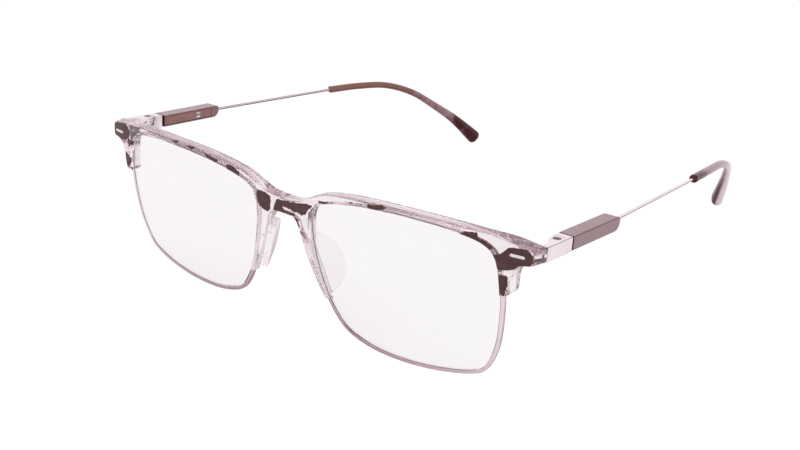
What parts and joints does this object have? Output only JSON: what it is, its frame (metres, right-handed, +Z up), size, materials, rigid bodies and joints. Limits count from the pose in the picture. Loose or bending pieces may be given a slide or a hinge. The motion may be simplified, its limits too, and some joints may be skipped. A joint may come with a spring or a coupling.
{
  "type": "smart glasses",
  "caption": "Browline glasses with clear mottled acetate front, thin half rims, folding wire temples and a slim electronics module with charging contacts behind each hinge.",
  "frame": {"origin": "centre of the bounding box, on the level that the rims and the temple tips rest on", "axes": "+X to the right seen from the front, +Y from the front to the temple tips, +Z up; the front looks along -Y"},
  "size_m": [0.1412, 0.1513, 0.0406],
  "materials": {
    "crystal_acetate": "polished, clear with brown tortoise blotches",
    "lens_glass": "clear, very faint tint",
    "rim_metal": "satin rose silver",
    "plaque_metal": "polished",
    "clear_silicone": "clear, soft",
    "bracket_metal": "polished",
    "screw_steel": "satin",
    "leaf_metal": "polished",
    "dark_rubber": "matte",
    "housing_plastic": "gloss brown",
    "cover_plastic": "gloss brown",
    "board_laminate": "satin",
    "cell_foil": "satin foil",
    "contact_plating": "plated",
    "wire_metal": "polished",
    "tip_acetate": "polished brown tortoise"
  },
  "bodies": {
    "front": {"front_frame": "crystal_acetate", "lens_right": "lens_glass", "rim_right": "rim_metal", "rivet_plaque_right": "plaque_metal", "nose_pad_right": "clear_silicone", "hinge_bracket_right": "bracket_metal", "hinge_screw_right": "screw_steel", "lens_left": "lens_glass", "rim_left": "rim_metal", "rivet_plaque_left": "plaque_metal", "nose_pad_left": "clear_silicone", "hinge_bracket_left": "bracket_metal", "hinge_screw_left": "screw_steel"},
    "temple_right": {"hinge_leaf_right": "leaf_metal", "module_gasket_right": "dark_rubber", "module_housing_right": "housing_plastic", "module_cover_right": "cover_plastic", "circuit_board_right": "board_laminate", "battery_right": "cell_foil", "charging_contact_upper_right": "contact_plating", "charging_contact_lower_right": "contact_plating", "temple_wire_right": "wire_metal", "temple_tip_right": "tip_acetate"},
    "temple_left": {"hinge_leaf_left": "leaf_metal", "module_gasket_left": "dark_rubber", "module_housing_left": "housing_plastic", "module_cover_left": "cover_plastic", "circuit_board_left": "board_laminate", "battery_left": "cell_foil", "charging_contact_upper_left": "contact_plating", "charging_contact_lower_left": "contact_plating", "temple_wire_left": "wire_metal", "temple_tip_left": "tip_acetate"}
  },
  "joints": [
    {"name": "hinge_right", "type": "hinge", "parent": "front", "child": "temple_right", "pos_m": [0.0684, -0.05921, 0.0355], "axis": [0, 0.0819, 0.9966], "range_deg": [0, 85]},
    {"name": "hinge_left", "type": "hinge", "parent": "front", "child": "temple_left", "pos_m": [-0.0684, -0.05921, 0.0355], "axis": [0, -0.0819, -0.9966], "range_deg": [0, 80]}
  ]
}
